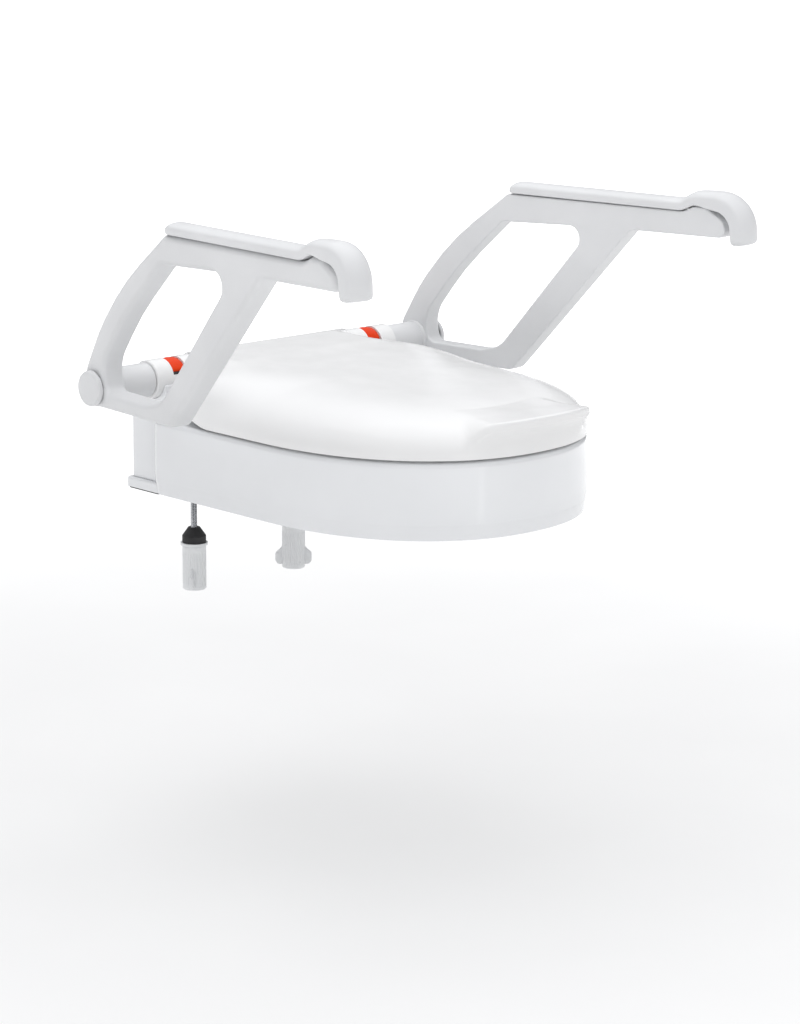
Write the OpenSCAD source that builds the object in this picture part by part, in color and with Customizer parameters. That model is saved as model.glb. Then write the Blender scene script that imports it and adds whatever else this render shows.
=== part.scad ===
// Raised toilet seat with a lid and two fold-up armrests.
// Millimetres, +Z up; the person on it faces -Y. The origin is midway between
// the two fixing bolts, on the plane of the toilet's rim.

/* [Hinge line] */
// Distance of the axle in front of the fixing bolts
axle_front = 46; // [44:1:50]
// Height of the axle above the toilet's rim
axle_height = 131; // [129:1:134]
// Radius of the steel axle
axle_r = 9; // [8.5:0.1:9.5]
// Outer radius of the sleeves round the arm pivots
collar_r = 22; // [21:0.5:23]
// Outboard end of each sleeve
collar_out = 183; // [180:1:186]
// Centre of the red key in each sleeve's window
key_x = 150.2; // [148:0.1:152]

/* [Ring] */
// Width of the ring
ring_w = 383.5; // [376:0.5:390]
// Distance from the axle to the front of the ring
ring_front = 440; // [430:1:450]
// Height of the ring's top above the toilet's rim
ring_top = 90; // [88:1:91]
// Length of the opening
opening_l = 280; // [260:5:290]
// Width of the opening
opening_w = 212; // [200:2:220]
// Wall of the mouldings
wall = 4; // [3:0.5:5]

/* [Lid] */
// Height of the lid's top above the axle, at the hinge
lid_rise = 24; // [23:0.5:24.5]
// Fall of the lid's top from the hinge to the front
lid_fall = 24; // [18:1:28]
// Width of the finger lip
lip_w = 124; // [90:2:140]

/* [Arms] */
// Distance from the middle to the outer side of an arm at the pivot
arm_out = 256.6; // [252:0.2:262]
// Thickness of an arm
arm_t = 26; // [22:1:28]
// Angle at which the arms spread towards the front
arm_splay = 5.8; // [0:0.2:8]
// Angle by which an arm folds up
arm_travel = 95; // [80:5:95]

/* [Fixing] */
// Distance between the two fixing bolts
bolt_spacing = 155; // [150:1:160]
// Radius of a fixing bolt
bolt_r = 4; // [3:0.5:4]
// Depth of the toilet's shelf that the bolts clamp
shelf_depth = 70; // [40:2:76]
// Length of a wing nut
nut_l = 53; // [40:1:56]

/* [Hidden] */
$fn = 48;

WHITE = [0.95, 0.95, 0.95];
GREY = [0.82, 0.83, 0.85];
RED = [0.90, 0.22, 0.06];
BLACK = [0.08, 0.08, 0.08];
STEEL = [0.72, 0.73, 0.75];
BUSH = [0.90, 0.89, 0.84];

// Clearances
run = 0.05;          // axle in a bush, all round
gap = 0.3;           // between parts that move past each other

// Heights and lengths from the axle, which is the origin inside at_axle()
ring_hi = ring_top - axle_height;
ring_lo = 4.5 - axle_height;
ring_rear = -18;
ring_a = ring_w / 2;
ring_b = 232.5;
ring_n = 2.2;
ring_oval_y = ring_b - ring_front;
opening_y = -235;
lid_lo = ring_hi + 2;
lid_t = 3.5;
lid_ease = 60;       // radius of the lid's rear corners
barrel_x = 118;      // half length of the lid's hinge barrel
barrel_r = lid_rise - 1;
ear_r = 20;
ear_in = 46;
ear_out = 82;
bush_r = axle_r + 2;
spigot_r = 15;
collar_in = 119;
axle_end = 249;
key_w = 18;
key_from = 24;       // angles round the axle: 0 front, 90 top
key_to = 120;
arm_in = arm_out - arm_t;
arm_mid = arm_out - arm_t / 2;
boss_r = 19.5;
cap_r = 19.9;

block_x = 175;
block_front = -16;
block_rear = 36;
block_hi = -40;
block_lo = 13 - axle_height;
tower_in = 127;
screw_head_y = 28;
nut_top = -shelf_depth - 15;
thread_top = -33;
thread_r = bolt_r - 0.4;     // at the thread's pitch line
bolt_end = nut_top - nut_l + 10;

// ---- helpers ----

module at_axle() translate([0, -axle_front, axle_height]) children();

module both_sides() {
    children();
    mirror([1, 0, 0]) children();
}

module left_side() mirror([1, 0, 0]) children();

// A drawing in (Y, Z) made w thick along X, centred on x
module across(x, w) translate([x - w / 2, 0, 0]) rotate([90, 0, 90]) linear_extrude(w) children();

// Rod along X from x0 to x1
module rod_x(x0, x1, r) translate([x0, 0, 0]) rotate([0, 90, 0]) cylinder(h = x1 - x0, r = r);

// Part of a tube round the X axis, from angle a0 to a1: 0 front, 90 top
module sector_x(x0, x1, r0, r1, a0, a1)
    translate([x0, 0, 0]) rotate([0, 90, 0]) rotate([0, 0, 270 - a1])
        rotate_extrude(angle = a1 - a0) translate([r0, 0]) square([r1 - r0, x1 - x0]);

// Screw along Z with its head's top at z = 0 and its shank below
module screw(shank_r, shank_l, head_r, head_h) {
    translate([0, 0, -head_h]) cylinder(h = head_h, r = head_r);
    translate([0, 0, -head_h - shank_l]) cylinder(h = shank_l, r = shank_r);
}

function unit(v) = v / norm(v);
function flat(p) = [p[0], p[1]];

// Corner b = [x, y, r] between a and c, rounded to radius r
function corner(a, b, c) =
    b[2] == 0 ? [flat(b)] :
    let (u = unit(flat(a) - flat(b)), v = unit(flat(c) - flat(b)), half = acos(u * v) / 2)
    let (centre = flat(b) + unit(u + v) * b[2] / sin(half), reach = b[2] / tan(half))
    let (p = flat(b) + u * reach - centre, q = flat(b) + v * reach - centre)
    let (from = atan2(p[1], p[0]), turn = (atan2(q[1], q[0]) - from + 900) % 360 - 180)
    let (steps = max(2, ceil(abs(turn) / 15)))
    [for (i = [0:steps]) let (t = from + turn * i / steps) centre + b[2] * [cos(t), sin(t)]];

function rounded(pts) =
    let (n = len(pts))
    [for (i = [0:n - 1]) each corner(pts[(i + n - 1) % n], pts[i], pts[(i + 1) % n])];

// Front half of the plan, from the right side round the front to the left
function plan_front(inset) =
    let (a = ring_a - inset, b = ring_b - inset, steps = 40)
    [for (i = [0:steps]) let (t = 180 * i / steps, c = cos(t), s = sin(t))
        [a * sign(c) * pow(abs(c), 2 / ring_n), ring_oval_y - b * pow(abs(s), 2 / ring_n)]];

// Whole plan of the ring or the lid: rear edge at rear, its corners rounded to r
function plan(inset, rear, r) =
    let (a = ring_a - inset, front = plan_front(inset))
    concat(front,
        corner(front[len(front) - 1], [-a, rear - inset, r - inset], [0, rear - inset]),
        corner([0, rear - inset], [a, rear - inset, r - inset], front[0]));

function oval(a, b, n, cy) =
    [for (i = [0:47]) let (t = 7.5 * i, c = cos(t), s = sin(t))
        [a * sign(c) * pow(abs(c), 2 / n), cy + b * sign(s) * pow(abs(s), 2 / n)]];

// ---- ring ----

module ring_plan(inset) polygon(plan(inset, ring_rear, 10));
module opening_plan(grow) polygon(oval(opening_w / 2 + grow, opening_l / 2 + grow, 2.5, opening_y));

BASE_SCREWS = [[150, -60], [172, -205], [104, -386], [0, -415], [-104, -386], [-172, -205], [-150, -60]];

module seat_ring() color(WHITE) at_axle() {
    difference() {
        union() {
            translate([0, 0, ring_lo]) linear_extrude(15) ring_plan(3);
            translate([0, 0, ring_lo + 14]) linear_extrude(ring_hi - ring_lo - 17) ring_plan(0);
            translate([0, 0, ring_hi - 4]) linear_extrude(4) ring_plan(2.5);
        }
        translate([0, 0, ring_lo - 1]) linear_extrude(200) opening_plan(0);
        difference() {
            translate([0, 0, ring_lo - 1]) linear_extrude(ring_hi - ring_lo - wall + 1) ring_plan(wall + 3);
            translate([0, 0, ring_lo - 2]) linear_extrude(200) opening_plan(wall);
            for (p = BASE_SCREWS) translate([p[0], p[1], ring_lo + 4.5]) cylinder(h = 90, r = 6);
        }
        for (p = BASE_SCREWS) translate([p[0], p[1], ring_lo]) cylinder(h = 24, r = 2);
    }
    both_sides() ring_ear();
}

module ring_ear() difference() {
    union() {
        rod_x(ear_in, ear_out, ear_r);
        across((ear_in + ear_out) / 2, ear_out - ear_in)
            polygon([[-58, ring_hi - 2], [-14, 14], [14, -14], [-18, ring_hi + 3], [-18, ring_hi - 2]]);
    }
    rod_x(ear_in - 1, ear_out + 1, bush_r);
}

module ring_base() color(WHITE) at_axle() translate([0, 0, ring_lo]) difference() {
    linear_extrude(4) difference() {
        ring_plan(wall + 3.2);
        opening_plan(wall + 0.2);
    }
    for (p = BASE_SCREWS) translate([p[0], p[1], -1]) cylinder(h = 9, r = 2.3);
    for (p = BASE_SCREWS) translate([p[0], p[1], -1]) cylinder(h = 3, r = 4.2);
    for (p = RIM_BUFFERS) translate([p[0], p[1], -1]) cylinder(h = 9, r = 4);
}

module base_screws() color(STEEL) at_axle()
    for (p = BASE_SCREWS) translate([p[0], p[1], ring_lo + 0.2]) mirror([0, 0, 1]) screw(2, 18, 4, 1.8);

RIM_BUFFERS = [[135, -130], [125, -330], [-125, -330], [-135, -130]];

module rim_buffers() color(BLACK) at_axle() for (p = RIM_BUFFERS) translate([p[0], p[1], 0]) {
    translate([0, 0, -axle_height]) cylinder(h = 4.5, r = 11);
    translate([0, 0, ring_lo]) cylinder(h = 4, r = 4);
    translate([0, 0, ring_lo + 4]) cylinder(h = 2, r = 5);
}

// A plain bearing on the axle, from x0 to x1
module bush(x0, x1) difference() {
    rod_x(x0, x1, bush_r);
    rod_x(x0 - 1, x1 + 1, axle_r + run);
}

module ring_bushes() color(BUSH) at_axle() both_sides() bush(ear_in, ear_out);

// ---- lid ----

module lid_plan(inset) {
    polygon(plan(inset, -38, lid_ease));
    translate([-barrel_x, -70]) square([2 * barrel_x, 74]);
}

// Height of the lid's top at a distance y in front of the axle (y < 0)
function lid_z(y) = lid_rise + lid_fall * y / ring_front;

module lid_profile(inset) polygon(rounded([
    [-ring_front + inset, lid_lo - 5 * inset, 0], [-ring_front + inset, lid_z(-ring_front) - inset, 14 - inset],
    [6, lid_z(6) - inset, 0], [6, -26 - 5 * inset, 0], [-68, -31 - 5 * inset, 0], [-116, lid_lo - 5 * inset, 0]]));

// Cross-section of the dome, seen along the slope of its top
module lid_section(inset) polygon(rounded([
    [ring_a - inset, -90, 0], [ring_a - inset, -inset, 30 - inset],
    [-ring_a + inset, -inset, 30 - inset], [-ring_a + inset, -90, 0]]));

module lid_dome(inset) intersection() {
    translate([0, 0, -80]) linear_extrude(120) lid_plan(inset);
    across(0, 420) lid_profile(inset);
    translate([0, 0, lid_rise]) rotate([90 + atan(lid_fall / ring_front), 0, 0])
        linear_extrude(480) lid_section(inset);
}

module lid_lip() intersection() {
    across(0, lip_w) polygon(rounded([[-ring_front - 15, lid_z(-ring_front) - 8, 2],
        [-ring_front - 15, lid_z(-ring_front) - 1, 3], [-ring_front + 30, lid_z(-ring_front) + 1, 0],
        [-ring_front + 20, lid_z(-ring_front) - 10, 0]]));
    translate([0, -ring_front + 105, -60]) cylinder(h = 100, r = 121, $fn = 96);
}

LID_BUFFERS = [[128, -110], [95, -385], [-95, -385], [-128, -110]];

module lid() color(WHITE) at_axle() difference() {
    union() {
        difference() {
            lid_dome(0);
            lid_dome(lid_t);
        }
        difference() {
            lid_lip();
            lid_dome(lid_t);
        }
        both_sides() rod_x(ear_out + 2, barrel_x, barrel_r);
        sector_x(-ear_out - 3, ear_out + 3, ear_r + 0.5, barrel_r - 0.4, 40, 125);
        for (p = LID_BUFFERS) translate([p[0], p[1], lid_lo + 2]) cylinder(h = lid_z(p[1]) - lid_lo - 4, r = 7);
    }
    both_sides() rod_x(ear_out + 1, barrel_x + 1, bush_r);
    for (p = LID_BUFFERS) translate([p[0], p[1], lid_lo]) cylinder(h = 12, r = 3);
}

module lid_bushes() color(BUSH) at_axle() both_sides() bush(ear_out + 2, barrel_x);

module lid_buffers() color(WHITE) at_axle() for (p = LID_BUFFERS) translate([p[0], p[1], 0]) {
    translate([0, 0, ring_hi]) cylinder(h = 4, r = 7);
    translate([0, 0, lid_lo + 2]) cylinder(h = 8, r = 3);
}

// ---- hinge block and fixing ----

PLATE_SCREWS = [[160, 10], [60, 10], [-60, 10], [-160, 10]];

module tower_profile() polygon(rounded([[block_front, -60, 0], [block_front, -34, 3], [-24, -28, 5], [-23, -4, 0],
    [23, -4, 0], [27, -20, 8], [block_rear, -44, 0], [block_rear, -60, 0]]));

module hinge_bracket() color(WHITE) at_axle() difference() {
    union() {
        across(0, 2 * block_x) polygon(rounded([[block_front, block_lo, 0], [block_front, block_hi, 2],
            [block_rear, block_hi, 6], [block_rear, block_lo, 0]]));
        both_sides() across((tower_in + block_x) / 2, block_x - tower_in) tower_profile();
    }
    difference() {
        translate([-block_x + wall, block_front + wall, block_lo - 1])
            cube([2 * (block_x - wall), block_rear - block_front - 2 * wall, block_hi - block_lo - wall + 1]);
        both_sides() translate([tower_in - wall, -50, block_lo - 2]) cube([wall, 100, 90]);
        both_sides() translate([tower_in - wall, -50, -56]) cube([60, 100, 60]);
        for (p = PLATE_SCREWS) translate([p[0], p[1], block_lo - 2]) cylinder(h = 90, r = 5);
    }
    for (p = PLATE_SCREWS) translate([p[0], p[1], block_lo - 1]) cylinder(h = 26, r = 2);
    both_sides() rod_x(tower_in - 9, block_x + 1, collar_r);
    both_sides() translate([tower_in + 4, -13, -50]) cube([block_x - tower_in - 8, 26, 40]);
    at_collar_screws() cylinder(h = 60, r = 2.5);
    at_collar_screws() translate([0, 0, screw_head_y - 3]) cylinder(h = 30, r = 4.5);
}

module plate_plan(inset) difference() {
    union() {
        translate([-180 + inset, block_front + inset])
            square([360 - 2 * inset, 58 - 2 * inset]);
        polygon(rounded([[-106 + inset, 20, 0], [106 - inset, 20, 0],
            [106 - inset, 68 - inset, 14], [-106 + inset, 68 - inset, 14]]));
    }
    both_sides() translate([bolt_spacing / 2, axle_front]) circle(r = bolt_r + 0.3);
}

module fixing_plate() color(WHITE) at_axle() difference() {
    translate([0, 0, 1.5 - axle_height]) linear_extrude(11.5) plate_plan(0);
    for (p = PLATE_SCREWS) translate([p[0], p[1], -axle_height]) cylinder(h = 20, r = 2.3);
    for (p = PLATE_SCREWS) translate([p[0], p[1], -axle_height]) cylinder(h = 5, r = 4.2);
}

module anti_slip_pad() color(BLACK) at_axle() difference() {
    translate([0, 0, -axle_height]) linear_extrude(1.5) plate_plan(1.5);
    for (p = PLATE_SCREWS) translate([p[0], p[1], -axle_height - 1]) cylinder(h = 4, r = 5);
}

module plate_screws() color(STEEL) at_axle()
    for (p = PLATE_SCREWS) translate([p[0], p[1], 2 - axle_height]) mirror([0, 0, 1]) screw(2, 26, 4, 3);

module at_bolts() both_sides() translate([bolt_spacing / 2, 0, 0]) children();

module fixing_bolts() color(STEEL) at_bolts() {
    translate([0, 0, 13]) difference() {
        rotate_extrude() polygon(rounded([[0, 0, 0], [8, 0, 0], [8, 5.5, 2.5], [0, 5.5, 0]]));
        translate([0, 0, 2.5]) cylinder(h = 4, r = 3, $fn = 6);
    }
    cylinder(h = 13, r = bolt_r - 0.25);
    translate([0, 0, thread_top]) cylinder(h = -thread_top, r = bolt_r);
    translate([0, 0, bolt_end]) cylinder(h = thread_top - bolt_end, r = thread_r);
}

module cone_seal() color(BLACK) translate([bolt_spacing / 2, 0, -shelf_depth]) difference() {
    rotate_extrude() polygon([[0, 6], [7, 6], [14, -4], [14, -12], [0, -12]]);
    translate([0, 0, -13]) cylinder(h = 20, r = bolt_r + 0.2);
}

module flange_washer() color(WHITE) translate([bolt_spacing / 2, 0, nut_top]) difference() {
    cylinder(h = 3, r = 16);
    translate([0, 0, -1]) cylinder(h = 5, r = bolt_r + 0.2);
}

// Long wing nut: a hollow grip round a threaded core
module wing_nut() color(WHITE) translate([bolt_spacing / 2, 0, nut_top - nut_l]) difference() {
    union() {
        cylinder(h = nut_l, r = 14);
        rotate([0, 0, -40]) translate([-22, -2, 4]) cube([44, 4, 17]);
    }
    translate([0, 0, -1]) cylinder(h = nut_l + 2, r = thread_r + run);
    translate([0, 0, -1]) difference() {
        cylinder(h = nut_l - 6, r = 11.5);
        cylinder(h = nut_l - 6, r = 8);
    }
}

// ---- axle and its sleeves ----

module axle() color(STEEL) at_axle() difference() {
    rod_x(-axle_end, axle_end, axle_r);
    both_sides() rod_x(axle_end - 26, axle_end + 1, 4);
    both_sides() translate([122, 0, -20]) cylinder(h = 40, r = 1.5);
}

module axle_pins() color(STEEL) at_axle() both_sides()
    translate([122, 0, -14]) cylinder(h = 28, r = 1.5);

module axle_end_washers() color(STEEL) at_axle() both_sides() difference() {
    rod_x(axle_end, axle_end + 2, 13);
    rod_x(axle_end - 1, axle_end + 3, 4.2);
}

module axle_end_screws() color(STEEL) at_axle() both_sides() difference() {
    union() {
        rod_x(axle_end - 22, axle_end + 2, 4);
        rod_x(axle_end + 2, axle_end + 6, 7);
    }
    translate([axle_end + 4, 0, 0]) rotate([0, 90, 0]) cylinder(h = 3, r = 3, $fn = 6);
}

slot_from = key_from - 9;
slot_to = key_to + arm_travel + 1;

module collar() color(WHITE) at_axle() difference() {
    union() {
        rod_x(collar_in, collar_out, collar_r);
        translate([tower_in + 4.2, -12.8, -49.8]) cube([block_x - tower_in - 8.4, 25.6, 36]);
    }
    rod_x(collar_in + 6, collar_out + 1, spigot_r + gap);
    rod_x(collar_in - 1, collar_in + 7, axle_r);
    sector_x(key_x - key_w / 2 - 1, key_x + key_w / 2 + 1, spigot_r - 1, collar_r + 2, slot_from, slot_to);
    translate([122, 0, -14]) cylinder(h = 28, r = 1.5);
    for (x = [139, 163]) translate([x, 0, -32]) rotate([-90, 0, 0]) cylinder(h = 30, r = 2);
}

// The screws that hold the sleeves in the bracket, each along +Z from the middle of its sleeve's foot
module at_collar_screws() both_sides() for (x = [139, 163])
    translate([x, 0, -32]) rotate([-90, 0, 0]) children();

module collar_screws() color(STEEL) at_axle() at_collar_screws()
    translate([0, 0, screw_head_y]) screw(2, 20, 4.2, 3);

module stop_buffer() color(BLACK) at_axle()
    sector_x(key_x - key_w / 2 - 1, key_x + key_w / 2 + 1, spigot_r + gap, collar_r - 0.3, slot_from, key_from - 0.5);

module stop_key() color(RED) at_axle()
    sector_x(key_x - key_w / 2, key_x + key_w / 2, spigot_r - 1.5, collar_r - 0.2, key_from, key_to);

// ---- arms ----

// The arm's own (Y, Z) drawing, spread outwards and w thick
module arm_plate(w) translate([arm_mid, 0, 0]) rotate([0, 0, arm_splay]) across(0, w) children();

module arm_outline() polygon(rounded([
    [0, 21.5, 0], [2, 48, 60], [-52, 121, 150], [-142, 187, 5], [-448, 191, 10], [-460, 181, 9], [-452, 170, 8],
    [-322, 164, 14], [-152, -21, 14], [0, -21.5, 0]]));

module arm_hole() polygon(rounded([
    [-23, -2, 12], [-16, 28, 40], [-62, 88, 150], [-135, 153, 16], [-268, 160, 15], [-132, 4, 40], [-105, -2, 40]]));

module arm_frame() color(GREY) at_axle() difference() {
    union() {
        arm_plate(arm_t) difference() {
            union() {
                arm_outline();
                circle(r = 21.5);
            }
            arm_hole();
        }
        rod_x(arm_in - 2, arm_out, 21.5);
        rod_x(collar_out + 0.4, arm_in + 2, boss_r);
        rod_x(collar_in + 7, collar_out + 1, spigot_r);
    }
    rod_x(collar_in, arm_out + 5, bush_r);
    rod_x(axle_end - 1, arm_out + 10, 17);
    sector_x(key_x - key_w / 2, key_x + key_w / 2, spigot_r - 1.5, collar_r, key_from, key_to);
    arm_screws_at() translate([0, 0, -30]) cylinder(h = 60, r = 2.5);
    arm_screws_at() translate([0, 0, -40]) cylinder(h = 22, r = 5);
}

module arm_screws_at() translate([arm_mid, 0, 0]) rotate([0, 0, arm_splay])
    for (p = [[-205, 188], [-370, 190]]) translate([0, p[0], p[1]]) children();

module arm_pad() color(GREY) at_axle() difference() {
    arm_plate(arm_t + 4) polygon(rounded([
        [-140, 188, 2], [-152, 202, 10], [-392, 204, 60], [-424, 215, 40], [-478, 218, 34], [-480, 156, 7],
        [-464, 156, 4], [-463, 197, 12], [-416, 199, 8], [-396, 191.5, 4]]));
    arm_screws_at() translate([0, 0, -1]) cylinder(h = 8, r = 2);
}

module pad_screws() color(STEEL) at_axle() arm_screws_at()
    translate([0, 0, -22]) mirror([0, 0, 1]) screw(2, 25, 4, 3);

module arm_bushes() color(BUSH) at_axle() {
    bush(collar_in + 7, collar_in + 22);
    bush(axle_end - 16, axle_end - 1);
}

module end_cap() color(GREY) at_axle() difference() {
    union() {
        rod_x(axle_end + 1, arm_out + 3, 16.8);
        translate([arm_out + 3, 0, 0]) rotate([0, 90, 0])
            rotate_extrude() polygon(rounded([[0, 0, 0], [cap_r, 0, 0.8], [cap_r, 4, 2], [0, 6, 0]]));
    }
    rod_x(axle_end - 1, arm_out + 1, 14);
}

// ---- the assembly ----

seat_ring();
ring_base();
base_screws();
rim_buffers();
ring_bushes();
lid();
lid_bushes();
lid_buffers();
hinge_bracket();
fixing_plate();
anti_slip_pad();
plate_screws();
fixing_bolts();
axle();
axle_pins();
axle_end_screws();
axle_end_washers();
left_side() collar();  // left_collar
collar();  // right_collar
collar_screws();
left_side() stop_buffer();  // left_stop_buffer
stop_buffer();  // right_stop_buffer
left_side() arm_frame();  // left_arm_frame
arm_frame();  // right_arm_frame
left_side() arm_pad();  // left_arm_pad
arm_pad();  // right_arm_pad
left_side() pad_screws();  // left_pad_screws
pad_screws();  // right_pad_screws
left_side() arm_bushes();  // left_arm_bushes
arm_bushes();  // right_arm_bushes
left_side() stop_key();  // left_stop_key
stop_key();  // right_stop_key
left_side() end_cap();  // left_end_cap
end_cap();  // right_end_cap
left_side() cone_seal();  // left_cone_seal
cone_seal();  // right_cone_seal
left_side() flange_washer();  // left_flange_washer
flange_washer();  // right_flange_washer
left_side() wing_nut();  // left_wing_nut
wing_nut();  // right_wing_nut
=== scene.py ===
# A raised toilet seat with a lid and two fold-up armrests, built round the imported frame.
# Lengths are in millimetres from the middle of the axle (X across, Y back, Z up), unless a
# comment says otherwise; piece() turns them into the frame's metres.

import math

import bmesh
import bpy
import numpy as np
from mathutils import Matrix, Vector
from mathutils.geometry import tessellate_polygon

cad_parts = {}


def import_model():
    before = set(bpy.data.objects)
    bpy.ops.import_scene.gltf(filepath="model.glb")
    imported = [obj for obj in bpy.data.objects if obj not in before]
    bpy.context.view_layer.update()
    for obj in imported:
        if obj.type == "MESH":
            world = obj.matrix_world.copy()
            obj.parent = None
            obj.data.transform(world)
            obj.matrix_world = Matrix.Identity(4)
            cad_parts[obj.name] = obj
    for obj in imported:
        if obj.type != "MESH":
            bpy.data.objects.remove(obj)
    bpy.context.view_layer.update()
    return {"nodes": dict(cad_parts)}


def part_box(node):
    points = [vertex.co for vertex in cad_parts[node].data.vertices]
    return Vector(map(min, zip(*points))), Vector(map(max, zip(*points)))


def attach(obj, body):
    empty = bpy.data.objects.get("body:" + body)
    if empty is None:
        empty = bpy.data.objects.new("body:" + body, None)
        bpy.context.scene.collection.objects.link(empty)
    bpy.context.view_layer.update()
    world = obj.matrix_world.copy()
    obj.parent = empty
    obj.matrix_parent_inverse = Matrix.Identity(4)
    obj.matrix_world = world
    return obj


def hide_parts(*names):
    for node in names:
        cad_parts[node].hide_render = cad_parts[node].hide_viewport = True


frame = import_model()

MM = 0.001
axle_lo, axle_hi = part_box("axle")
AXLE = (axle_lo + axle_hi) / 2


def from_axle(node):
    """A CAD node's box in millimetres from the axle."""
    lo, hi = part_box(node)
    return (lo - AXLE) / MM, (hi - AXLE) / MM


ring_lo, ring_hi = from_axle("seat_ring")
RIM_Z = -AXLE.z / MM                 # the toilet rim's plane
BOLT_Y = -AXLE.y / MM                # the bolts' line
RING_TALL = 85.5                     # from the ring base's underside to the ring's top
RING_Z0 = ring_lo.z                  # underside of the ring
RING_Z1 = from_axle("ring_base")[0].z + RING_TALL
RING_A = ring_hi.x                   # half its width
RING_FRONT = -ring_lo.y              # its front, as a distance from the axle
RING_REAR = -18.0                    # its rear edge
RING_B = 232.5                       # from its widest line to its front
RING_N = 2.2                         # roundness of the front: 2 is an ellipse, more is squarer
RING_CY = RING_B - RING_FRONT        # its widest line


# ---- curves in a plane ----

def corner(a, b, c, step=9):
    """The corner b = (x, y, radius) between a and c, as points every step degrees of its arc."""
    p = np.array(b[:2], float)
    if b[2] == 0:
        return [p]
    u = np.array(a[:2], float) - p
    v = np.array(c[:2], float) - p
    u, v = u / np.linalg.norm(u), v / np.linalg.norm(v)
    half = math.acos(np.clip(u @ v, -1, 1)) / 2
    centre = p + (u + v) / np.linalg.norm(u + v) * b[2] / math.sin(half)
    first = p + u * b[2] / math.tan(half) - centre
    last = p + v * b[2] / math.tan(half) - centre
    start = math.atan2(first[1], first[0])
    turn = (math.atan2(last[1], last[0]) - start + 3 * math.pi) % (2 * math.pi) - math.pi
    count = max(2, math.ceil(abs(math.degrees(turn)) / step))
    angles = [start + turn * i / count for i in range(count + 1)]
    return [centre + b[2] * np.array([math.cos(a), math.sin(a)]) for a in angles]


def rounded(points, closed=True, step=9):
    """A polygon of (x, y, radius) corners as an array of points."""
    n = len(points)
    out = []
    for i, p in enumerate(points):
        if not closed and i in (0, n - 1):
            out.append(np.array(p[:2], float))
        else:
            out.extend(corner(points[i - 1], p, points[(i + 1) % n], step))
    return np.array(out)


def spaced(line, count, closed=False):
    """The line again, as count points equally far apart."""
    pts = np.vstack([line, line[:1]]) if closed else np.asarray(line, float)
    reach = np.concatenate([[0], np.cumsum(np.linalg.norm(np.diff(pts, axis=0), axis=1))])
    at = np.linspace(0, reach[-1], count + 1)[:-1] if closed else np.linspace(0, reach[-1], count)
    return np.stack([np.interp(at, reach, pts[:, k]) for k in range(pts.shape[1])], axis=1)


def filled(line, longest):
    """The closed line with points added so that no side is longer than longest."""
    out = []
    for a, b in zip(line, np.roll(line, -1, axis=0)):
        count = max(1, math.ceil(np.linalg.norm(b - a) / longest))
        out.extend(a + (b - a) * i / count for i in range(count))
    return np.array(out)


def set_in(line, distance):
    """A closed line moved to its left by distance."""
    ahead = np.roll(line, -1, axis=0) - line
    ahead /= np.linalg.norm(ahead, axis=1)[:, None]
    left = np.stack([-ahead[:, 1], ahead[:, 0]], axis=1)
    both = left + np.roll(left, 1, axis=0)
    both /= (both * both).sum(axis=1)[:, None] / 2
    return line + both * distance


def counterclockwise(line):
    area = (line[:, 0] * np.roll(line[:, 1], -1) - np.roll(line[:, 0], -1) * line[:, 1]).sum()
    return line if area > 0 else line[::-1]


def smooth_outline(corners, longest, step=9):
    """A counterclockwise outline through (x, y, radius) corners, with no side longer than longest."""
    return counterclockwise(filled(rounded(corners, step=step), longest))


def arc_angles(start, end, count):
    """Evenly spaced angles in radians, from start to end in degrees."""
    return np.radians(np.linspace(start, end, count))


def circle(x, y, r, count=32):
    turn = np.linspace(0, 2 * math.pi, count, endpoint=False)
    return np.column_stack([x + r * np.cos(turn), y + r * np.sin(turn)])


def ease(x, start, end):
    """0 before start, 1 after end, and smooth between; start may be above end."""
    t = np.clip((np.asarray(x, float) - start) / (end - start), 0, 1)
    return t * t * (3 - 2 * t)


# ---- closed shells: (points, faces) ----

def join(*shells):
    points, faces, base = [], [], 0
    for p, f in shells:
        points.append(np.asarray(p, float))
        faces.extend([tuple(i + base for i in face) for face in f])
        base += len(p)
    return np.vstack(points), faces


def mirrored(shell):
    points, faces = shell
    return points * [-1, 1, 1], [face[::-1] for face in faces]


def unchanged(shell):
    return shell


SIDES = (("left", mirrored), ("right", unchanged))     # each shape is made for the right side


def both_sides(shell):
    return join(shell, mirrored(shell))


def moved(shell, shift):
    return shell[0] + np.array(shift, float), shell[1]


def turned_z(shell, degrees):
    c, s = math.cos(math.radians(degrees)), math.sin(math.radians(degrees))
    return shell[0] @ np.array([[c, s, 0], [-s, c, 0], [0, 0, 1]]), shell[1]


def loft(rings, wrap=False, caps=True):
    """A skin through closed rings with equal numbers of points; wrap joins the last to the first."""
    count, n = len(rings), len(rings[0])
    faces = [(r * n + c, r * n + (c + 1) % n, (r + 1) % count * n + (c + 1) % n, (r + 1) % count * n + c)
             for r in range(count if wrap else count - 1) for c in range(n)]
    if caps and not wrap:
        faces.append(tuple(range(n))[::-1])
        faces.append(tuple((count - 1) * n + i for i in range(n)))
    return np.vstack(rings), faces


def lathe(profile, segments, axis="z"):
    """A (radius, height) profile turned about Z or X; a radius of 0 at an end closes it."""
    points, faces, rows = [], [], []
    turn = [2 * math.pi * k / segments for k in range(segments)]
    for r, h in profile:
        if r < 1e-6:
            rows.append([len(points)])
            points.append((0, 0, h))
        else:
            rows.append(list(range(len(points), len(points) + segments)))
            points.extend((r * math.cos(a), r * math.sin(a), h) for a in turn)
    if np.allclose(profile[0], profile[-1]):
        del points[rows[-1][0]:]
        rows[-1] = rows[0]
    for a, b in zip(rows, rows[1:]):
        for k in range(segments):
            quad = (a[k % len(a)], a[(k + 1) % len(a)], b[(k + 1) % len(b)], b[k % len(b)])
            faces.append(tuple(dict.fromkeys(quad)))
    shell = np.array(points, float)
    if axis == "x":
        shell = shell[:, [2, 0, 1]]
    return shell, faces


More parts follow.
